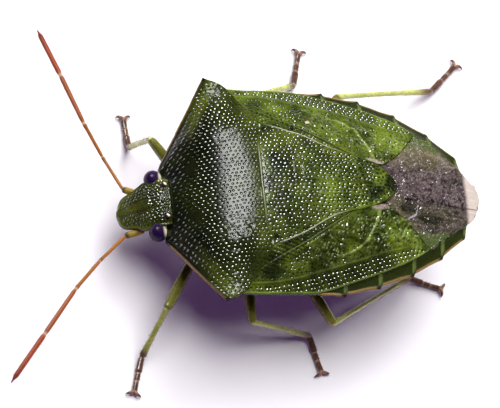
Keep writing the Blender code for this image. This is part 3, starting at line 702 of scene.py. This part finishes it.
def head_place(x, v, t):
    w = head_w(x)
    plain = np.where(t == 1, 1.0, 0.0)
    z = head_z(x) + 0.13 * step(-0.02, 0.7, x) * (1 - v * v) - 0.05 * np.abs(v) ** 8
    low = mix(chin_z(x), z - 0.16, np.abs(v) ** 2.6)
    z = mix(low, z, t)
    y = v * w + np.sign(v) * bulge(t)
    far, side = np.abs(y), w - np.abs(y)
    groove = line(far, groove_y(x), 0.045) * step(1.45, 1.2, x)
    cup = pits(x * 1.20 + 0.1 * ripple(x, y, 0.4, 61), y, 0.165, 0.056, 62)
    snout = step(groove_y(x) + 0.02, groove_y(x) - 0.03, far) * step(1.3, 1.1, x)
    pit = (cup * plain * step(0.03, 0.09, side) * (1 - 0.9 * groove) * (1 - 0.6 * snout)
           * step(0.02, 0.1, x))
    nape = step(1.55, 1.75, x)
    wrinkle = stripes(x * 9 + 2.0 * far * far, 0.5) * nape * step(0.95, 0.6, far)
    relief = (0.02 * snout - 0.035 * groove + 0.03 * line(side, 0.02, 0.04) - 0.022 * pit
              + 0.03 * (wrinkle - 0.5) * nape + 0.03 * (ripple(x, y, 0.4, 63) - 0.5))
    dim = groove + 0.35 * snout * step(0.5, 0.8, ripple(x, y, 0.25, 64))
    lime = 0.20 + 0.35 * line(side, 0.05, 0.16) + 0.60 * step(0.9, 0.1, x)
    masks = {"pit": pit, "lime": plain * lime, "relief": plain * relief, "groove": plain * dim}
    return np.stack([x, y, z], axis=1), masks


head_green = shell_material(
    "head_shell", (0.007, 0.011, 0.0015), (0.088, 0.112, 0.007),
    (("groove", (0.030, 0.018, 0.004), 0.8),), gloss=0.0, patch_size=900.0, bump=0.12)
add_piece(closed_skin("skull", np.linspace(-0.02, 2.3, 105),
                      plate_ring(np.linspace(-1, 1, 105), 25), head_place),
          head_green, "cuticle", "head")

# ---------------------------------------------------------------- Eyes
# Two round compound eyes set into the sides of the head, dark purple and
# glossy with a cream highlight painted at the back, and two ruby beads
# between them with a white highlight painted on each.
def bead(name, centre, size, rows, cols, gleam):
    def place(u, v, t):
        th, ph = np.pi * u, np.pi * v
        n = np.stack([np.cos(th), np.sin(th) * np.cos(ph), np.sin(th) * np.sin(ph)], axis=1)
        return np.array(centre) + n * np.array(size), {"gleam": gleam(*n.T)}
    ring = [(v, 1) for v in np.linspace(-1, 1, cols, endpoint=False)]
    return closed_skin(name, np.linspace(0.01, 0.99, rows), ring, place)


def glossy(name, dark, light, pale, rough):
    mat, tree, spot = new_material(name)
    tone = blend(tree, noise(tree, spot, 2500.0, 2.0), dark, light)
    facets = put(tree, "ShaderNodeTexVoronoi", {"Vector": spot, "Scale": 28000.0})
    # the gleam mask lays a painted highlight over the lens colour
    dress(tree, {"Base Color": layers(tree, tone, (("gleam", pale, 1.0),)),
                 "Roughness": rough, "IOR": 1.33},
          facets.outputs["Distance"], strength=0.25, depth=0.00001, invert=True)
    return mat


eye_dark = glossy("eye_lens", (0.004, 0.002, 0.010), (0.026, 0.006, 0.060),
                  pale=(0.50, 0.47, 0.30), rough=0.28)
for side, sign in SIDES:
    # painted highlight: a cream crescent on the back of each eye
    add_piece(bead("eye_lens_" + side, (1.52, 1.33 * sign, 2.60), (0.41, 0.42, 0.41), 28, 40,
                   lambda x, y, z: step(0.62, 0.80, x * 0.93 + z * 0.35) * step(-0.6, -0.2, z)),
              eye_dark, "eye", "eye_" + side)
ruby = glossy("ocellus_lens", (0.012, 0.003, 0.004), (0.050, 0.008, 0.010),
              pale=(0.75, 0.72, 0.68), rough=0.15)
for side, sign in SIDES:
    # painted highlight: white on the upper back of each ocellus
    add_piece(bead("ocellus_" + side, (1.84, 0.79 * sign, 3.14), (0.14, 0.13, 0.13), 14, 20,
                   lambda x, y, z: step(0.60, 0.80, x * 0.5 + z * 0.75 + y * 0.3)), ruby, "eye")

# ---------------------------------------------------------------- Feelers
# Each feeler is five stiff joints: a thick olive one at the head, then four
# longer orange ones that grow redder to the tip, furred with short bristles.
def tube_rings(path):
    """Middle, way ahead, side and up of each station of x, y, z, half width, half height."""
    pts = path[:, :3]
    ahead = np.vstack([pts[1:], pts[-1:]]) - np.vstack([pts[:1], pts[:-1]])
    ahead /= np.linalg.norm(ahead, axis=1)[:, None]
    side = np.cross(ahead, (0, 0, 1.0))
    side /= np.maximum(np.linalg.norm(side, axis=1), 1e-6)[:, None]
    return pts, ahead, side, np.cross(side, ahead)


def smooth_path(stations, n):
    """n rounded stations through the given ones, evenly spaced along them."""
    st = np.array(stations, float)
    run = np.concatenate([[0], np.cumsum(np.linalg.norm(np.diff(st[:, :3], axis=0), axis=1))])
    at = np.linspace(0, run[-1], n)
    return np.stack([through(*zip(run, st[:, k]))(at) for k in range(5)], axis=1), at / run[-1]


def tube(name, stations, n, around, masks_of):
    """A rounded tube through the stations, with masks along and around it."""
    path, along = smooth_path(stations, n)
    pts, _, side, up = tube_rings(path)

    def place(u, v, t):
        i, a = np.rint(u).astype(int), v * 2 * np.pi
        wide, high = path[i, 3] * np.cos(a), path[i, 4] * np.sin(a)
        return pts[i] + side[i] * wide[:, None] + up[i] * high[:, None], masks_of(along[i], v)
    return closed_skin(name, np.arange(n), [(k / around, 1) for k in range(around)], place)


def tube_masks(**rules):
    """Masks of a tube: each a number, or a rule of the way along and around."""
    def masks_of(s, v):
        return {key: np.zeros(len(s)) + (rule(s, v) if callable(rule) else rule)
                for key, rule in rules.items()}
    return masks_of


def between(a, b, rows, arch=0.0):
    """Stations from a to b.  rows give the way along, half width and half height."""
    return [(*(mix(a, b, s) + (0, 0, arch * math.sin(math.pi * s))), w, h) for s, w, h in rows]


def bristles(stations, count, length, seed, thick, lean=0.6):
    """Fine tapered hairs standing on a tube, leaning towards its tip."""
    path, _ = smooth_path(stations, 80)
    pts, ahead, side, up = tube_rings(path)
    bm = bmesh.new()
    for k in range(count):
        i = int(chance(k, 1, seed) * 78)
        a = chance(k, 2, seed) * 2 * math.pi
        wide, high = side[i] * math.cos(a), up[i] * math.sin(a)
        root = pts[i] + wide * path[i][3] * 0.95 + high * path[i][4] * 0.95
        size = length * (0.7 + 0.6 * chance(k, 3, seed))
        way = Vector(wide + high + ahead[i] * lean).normalized()
        if root[2] + way.z * size < 0.01:       # it would reach into the floor
            continue
        turn = way.to_track_quat("Z", "Y").to_matrix().to_4x4()
        bmesh.ops.create_cone(bm, cap_ends=True, segments=3, radius1=thick, radius2=0.001,
                              depth=size, matrix=Matrix.Translation(Vector(root) + way * size / 2)
                              @ turn)
    bmesh.ops.transform(bm, matrix=Matrix.Scale(MM, 4) @ Matrix.Translation(MIDDLE),
                        verts=bm.verts[:])
    mesh = bpy.data.meshes.new("down")
    bm.to_mesh(mesh)
    bm.free()
    mesh.attributes.new("hair", "FLOAT", "POINT").data.foreach_set(
        "value", np.ones(len(mesh.vertices), np.float32))
    return mesh


def join_skins(name, parts):
    """Several closed skins as one mesh, their masks kept."""
    bm = bmesh.new()
    for part in parts:
        bm.from_mesh(part)
        bpy.data.meshes.remove(part)
    mesh = bpy.data.meshes.new(name)
    bm.to_mesh(mesh)
    bm.free()
    return mesh


def ramp(tree, value, *stops):
    """Colours along a value, from (place, colour) stops."""
    node = put(tree, "ShaderNodeValToRGB", {"Fac": value})
    dots = node.color_ramp.elements
    for k, (at, hue) in ((0, stops[0]), (1, stops[-1])):
        dots[k].position, dots[k].color = at, (*hue, 1)
    for at, hue in stops[1:-1]:
        dots.new(at).color = (*hue, 1)
    return node.outputs[0]


feeler_tint, tree, spot = new_material("feeler_horn")
haze = noise(tree, spot, 6000.0, 3.0)
tone = ramp(tree, mark(tree, "joint"), (0.0, (0.34, 0.25, 0.03)), (0.25, (0.40, 0.155, 0.008)),
            (0.5, (0.40, 0.13, 0.008)), (0.75, (0.36, 0.088, 0.009)), (1.0, (0.36, 0.060, 0.012)))
tone = blend(tree, scaled(tree, haze, 0.7), tone, (0.45, 0.35, 0.3), "MULTIPLY")
tone = layers(tree, tone, (
    ("dusk", (0.10, 0.014, 0.006), 0.6), ("pale", (0.75, 0.62, 0.40), 0.7),
    ("ring", (0.06, 0.03, 0.012), 0.85), ("hair", (0.30, 0.14, 0.05), 1.0)))
dress(tree, {"Base Color": tone, "Roughness": 0.32, "IOR": 1.38}, haze, strength=0.3, depth=0.00001)

FEELERS = {
    "right": ((1.01, 0.91, 2.00), (0.30, 1.18, 1.92), (-0.42, 2.88, 1.74), (-1.14, 4.52, 1.83),
              (-1.99, 6.98, 1.82), (-2.73, 9.56, 1.37)),
    "left": ((1.01, -0.91, 2.00), (0.21, -1.16, 1.92), (-1.09, -2.48, 1.99), (-2.27, -3.84, 1.88),
             (-3.77, -5.93, 1.54), (-5.34, -8.06, 0.94)),
}
FEELER_R = ((0.11, 0.15, 0.15, 0.12), (0.055, 0.070, 0.075, 0.085), (0.060, 0.075, 0.085, 0.100),
            (0.065, 0.095, 0.110, 0.100), (0.075, 0.120, 0.115, 0.035))
for side, joints in FEELERS.items():
    parts = []
    for k, r in enumerate(FEELER_R):
        a, b = np.array(joints[k]), np.array(joints[k + 1])
        lap = (b - a) / np.linalg.norm(b - a) * 0.02
        st = between(a - lap, b + lap * (k < 4), [(s, w, w) for s, w in (
            (0, r[0]), (0.10, r[1]), (0.35, mix(r[1], r[2], 0.5)), (0.85, r[2]), (0.96, r[3]),
            (1.0, r[3] * 0.7))])
        parts.append(tube("joint", st, 40, 20, tube_masks(
            joint=k / 4.0, hair=0.0,
            pale=lambda s, v: step(0.06, 0.0, s) * (k > 1) + step(0.95, 1.0, s) * (0 < k < 4),
            ring=lambda s, v: (step(0.80, 0.90, s) * (k == 0)
                               + 0.8 * step(0.90, 0.97, s) * (k == 1)),
            dusk=lambda s, v: step(0.45, 1.0, s) * (0.35 if k < 4 else 0.9) * (k > 0))))
        if k:
            parts.append(bristles(st, 26 + 12 * k, 0.085, 100 + k, 0.006))
    add_piece(join_skins("feeler_" + side, parts), feeler_tint, "feeler", "antenna_" + side)

# ---------------------------------------------------------------- Legs
# Six walking legs.  The thigh is smooth olive green, the shin brighter green
# with a brown foot end and stiff bristles, painted darker on the near legs as
# painted shade, the foot three brown joints with soft pads under them, and a
# pair of hooked claws.
leg_tint, tree, spot = new_material("leg_chitin")
cloud = noise(tree, spot, 1500.0, 3.0)
speck = noise(tree, spot, 9000.0, 2.0)
tone = blend(tree, cloud, (0.045, 0.048, 0.003), (0.19, 0.18, 0.008))
for mask, dark, light in (("green", (0.27, 0.31, 0.030), (0.66, 0.71, 0.24)),
                          ("brown", (0.020, 0.009, 0.007), (0.17, 0.075, 0.045))):
    tone = blend(tree, mark(tree, mask), tone, blend(tree, cloud, dark, light))
tone = layers(tree, tone, (("pale", (0.62, 0.38, 0.24), 0.8), ("hair", (0.22, 0.15, 0.06), 1.0)))
dress(tree, {"Base Color": mottle(tree, tone, speck, 0.8, 1.15), "IOR": 1.38,
             "Roughness": scaled(tree, speck, 0.15, 0.18), "Coat Weight": 0.8,
             "Coat Roughness": 0.12}, speck, strength=0.25, depth=0.00001)

# hip (x, y), knee (x, y, z), ankle (x, y) and toe (x, y) of each leg
LEGS = {
    "front_left": ((3.50, -1.35), (1.80, -4.63, 1.70), (0.84, -6.29), (0.32, -8.15)),
    "front_right": ((3.50, 1.35), (1.67, 3.45, 2.47), (1.24, 4.28), (1.16, 5.94)),
    "middle_left": ((5.75, -1.45), (5.48, -5.47, 2.20), (8.61, -5.08), (9.04, -6.96)),
    "middle_right": ((5.85, 1.45), (6.42, 6.03, 2.00), (9.24, 7.75), (9.74, 9.71)),
    "hind_left": ((7.80, -1.45), (9.07, -5.62, 2.50), (13.56, -2.00), (15.12, -2.49)),
    "hind_right": ((7.85, 1.45), (10.50, 5.93, 2.50), (15.69, 7.67), (17.18, 9.30)),
}
HIP = ((0, 0.30, 0.30), (0.35, 0.42, 0.42), (0.8, 0.34, 0.34), (1, 0.20, 0.20))
THIGH = ((0, 0.14, 0.14), (0.06, 0.19, 0.19), (0.12, 0.17, 0.17), (0.30, 0.235, 0.225),
         (0.62, 0.25, 0.24), (0.88, 0.225, 0.215), (0.97, 0.20, 0.19), (1.015, 0.12, 0.12))
SHIN = ((-0.01, 0.10, 0.10), (0.03, 0.15, 0.15), (0.10, 0.125, 0.13), (0.5, 0.120, 0.125),
        (0.85, 0.145, 0.14), (0.96, 0.165, 0.155), (1.01, 0.11, 0.11))
# start and end along the foot, radii and heights at both ends of each foot joint
FOOT = ((0.0, 0.40, 0.135, 0.155, 0.24, 0.135), (0.38, 0.60, 0.115, 0.125, 0.13, 0.12),
        (0.58, 0.90, 0.110, 0.125, 0.12, 0.125))
# forward, sideways, up, half width and half height of a claw and a pad
CLAW = ((0, 0, 0, 0.085, 0.085), (0.12, 0.10, 0.05, 0.080, 0.080),
        (0.19, 0.26, 0.02, 0.055, 0.055), (0.19, 0.35, -0.09, 0.018, 0.018))
PAD = ((0, 0.04, 0, 0.06, 0.04), (0.11, 0.09, -0.05, 0.09, 0.05), (0.19, 0.13, -0.08, 0.07, 0.035))


def leg_masks(green=0.0, brown=0.0, pale=0.0):
    return tube_masks(green=green, brown=brown, pale=pale, hair=0.0)


for leg, (hip, knee, shin, tip) in LEGS.items():
    side = 1 if hip[1] > 0 else -1
    root, turn = np.array([*hip, 1.95]), np.array([hip[0], hip[1] + 0.25 * side, 1.42])
    knee, ankle, ground = np.array(knee), np.array([*shin, 0.27]), np.array([*shin, 0.0])
    start = turn - (knee - turn) / np.linalg.norm(knee - turn) * 0.12
    parts = [tube("coxa", between(root, turn, HIP), 14, 18, leg_masks())]
    st = between(start, knee, THIGH)
    parts.append(tube("femur", st, 60, 22, leg_masks(
        green=0.12, brown=lambda s, v: 0.25 * step(0.93, 1.0, s))))
    parts.append(bristles(st, 50, 0.07, 7, 0.006))
    # painted shade: the near legs' shins get only half the bright green
    st = between(knee, ankle, SHIN, arch=0.05)
    parts.append(tube("tibia", st, 60, 18, leg_masks(
        green=1.0 if side > 0 else 0.5, brown=lambda s, v: 0.95 * step(0.78, 0.95, s))))
    parts.append(bristles(st, 130, 0.12, 9, 0.008))
    toe = np.array([*tip, 0.0]) - ground
    reach = np.linalg.norm(toe)
    toe /= reach
    for k, (a, b, w0, w1, high, low) in enumerate(FOOT):
        st = between(ground + toe * reach * a + (0, 0, high),
                     ground + toe * reach * b + (0, 0, low),
                     ((0, w0 * 0.6, w0 * 0.6), (0.12, w0, w0 * 0.9),
                      (0.6, mix(w0, w1, 0.6), w0 * 0.95), (0.90, w1, w1 * 0.92),
                      (1.0, w1 * 0.6, w1 * 0.6)))
        parts.append(tube("tarsus", st, 24, 18, leg_masks(brown=1.0, pale=lambda s, v: (
            0.75 * step(0.35, 0.05, s) if k else 0.35 * step(0.2, 0.0, s)))))
        parts.append(bristles(st, 55, 0.075, 20 + k, 0.007))
    add_piece(join_skins("leg_" + leg, parts), leg_tint, "leg",
              *(bone + leg for bone in ("coxa_", "femur_", "tibia_", "tarsus_")))
    across = np.cross(toe, (0, 0, 1.0))
    base = ground + toe * reach * 0.88 + (0, 0, 0.13)
    parts = []
    for way in (-1, 1):
        for name, rows, n, masks in (
                ("claw", CLAW, 24, leg_masks(brown=1.0, pale=lambda s, v: 0.5 * step(0.7, 0.2, s))),
                ("pad", PAD, 14, leg_masks(brown=0.6, pale=0.8))):
            st = [(*(base + toe * ahead + across * way * out + (0, 0, up)), w, h)
                  for ahead, out, up, w, h in rows]
            parts.append(tube(name, st, n, 12, masks))
    add_piece(join_skins("claws_" + leg, parts), leg_tint, "foot")

# ---------------------------------------------------------------- Beak
# The sucking beak, four olive joints folded back under the body between the
# legs, with a dark line down its middle and a black tip.
beak = ((0.30, 1.30, 0.10), (0.75, 1.22, 0.17), (1.35, 1.20, 0.16), (1.55, 1.21, 0.13),
        (1.75, 1.24, 0.155), (3.1, 1.50, 0.15), (3.35, 1.54, 0.12), (3.6, 1.56, 0.14),
        (4.8, 1.66, 0.13), (5.0, 1.67, 0.105), (5.2, 1.68, 0.12), (6.1, 1.70, 0.09),
        (6.4, 1.70, 0.04))
beak_masks = leg_masks(green=0.2, brown=lambda s, v: (
    step(0.90, 1.0, s) + 0.8 * step(0.06, 0.02, np.abs(v - 0.75))))
add_piece(tube("beak", [(x, 0.0, z, r, r) for x, z, r in beak], 120, 24, beak_masks), leg_tint,
          "beak", "rostrum")

# ---------------------------------------------------------------- Floor, light and camera
# A white table that runs out of sight, a small lamp for the shine, two big
# soft ones for the rest, a violet room, and a long lens from above.
bm = bmesh.new()
bmesh.ops.create_grid(bm, x_segments=8, y_segments=8, size=0.6)
mesh = bpy.data.meshes.new("table")
bm.to_mesh(mesh)
bm.free()
table = bpy.data.objects.new("table", mesh)
bpy.context.scene.collection.objects.link(table)
white, tree, _ = new_material("table_white")
for key, value in (("Base Color", (0.88, 0.87, 0.89)), ("Roughness", 0.9)):
    feed(tree, tree.nodes["Principled BSDF"].inputs[key], value)
mesh.materials.append(white)

# The camera's right and the way back to it, in the photo's frame, and the
# point it looks at, in mm from the snout along its right, up and back.
look_r = Vector((0.96693, -0.09975, 0.23473)).normalized()
look_b = Vector((-0.25360, -0.47374, 0.84336)).normalized()
look_u = look_b.cross(look_r).normalized()
look_r = look_u.cross(look_b)
aim = Vector(MIDDLE) + look_r * 6.2527 + look_u * 1.3128 + look_b * 1.0
CAMERA_AWAY = 300.0

# toward the lamp, its distance and width in mm, its watts and colour, and what it doesn't light
LAMPS = {
    "gleam": ((-0.323, 0.485, 0.814), 160.0, 57.0, 0.18, (0.98, 0.99, 1.0), "visible_diffuse"),
    "roof": ((0.22, 0.27, 0.94), 160.0, 210.0, 0.46, (1.0, 0.985, 0.98), "visible_glossy"),
    "far_side": ((0.36, 0.70, 0.61), 200.0, 125.0, 0.27, (1.0, 0.985, 0.98), "visible_glossy"),
}
for name, (toward, away, size, watts, colour, unlit) in LAMPS.items():
    data = bpy.data.lights.new(name, "AREA")
    data.shape = "DISK"
    data.size, data.energy, data.color = size * MM, watts, colour
    lamp = bpy.data.objects.new(name, data)
    way = Vector(toward).normalized()
    lamp.location = (aim + way * away) * MM
    lamp.rotation_mode = "QUATERNION"
    lamp.rotation_quaternion = way.to_track_quat("Z", "Y")
    setattr(lamp, unlit, False)
    bpy.context.scene.collection.objects.link(lamp)

world = bpy.data.worlds.new("room")
world.use_nodes = True
room = world.node_tree
sky = put(room, "ShaderNodeTexCoord", {}).outputs["Generated"]
split = put(room, "ShaderNodeSeparateXYZ", {0: sky})
shade = ramp(room, split.outputs[2], (0.10, (0.62, 0.17, 1.02)), (0.42, (0.018, 0.016, 0.026)))
ray = put(room, "ShaderNodeLightPath", {}).outputs
glossy_ray = ray["Is Glossy Ray"]
fade = put(room, "ShaderNodeHueSaturation", {
    "Color": shade, "Saturation": scaled(room, glossy_ray, -0.8, 1.0)})
seen = blend(room, ray["Is Camera Ray"], fade.outputs[0], (0.72, 0.71, 0.74))
for key, value in (("Color", seen), ("Strength", scaled(room, glossy_ray, -0.93, 1.1))):
    feed(room, room.nodes["Background"].inputs[key], value)
bpy.context.scene.world = world
bpy.context.scene.view_settings.view_transform = "Standard"

camera_data = bpy.data.cameras.new("camera")
camera_data.lens, camera_data.sensor_width = 488.2, 36.0
camera_data.clip_start, camera_data.clip_end = 0.01, 5.0
camera = bpy.data.objects.new("camera", camera_data)
turned = Matrix((look_r, look_u, look_b)).transposed().to_4x4()
camera.matrix_world = Matrix.Translation((aim + look_b * CAMERA_AWAY) * MM) @ turned
bpy.context.scene.collection.objects.link(camera)
bpy.context.scene.camera = camera

bpy.context.view_layer.update()
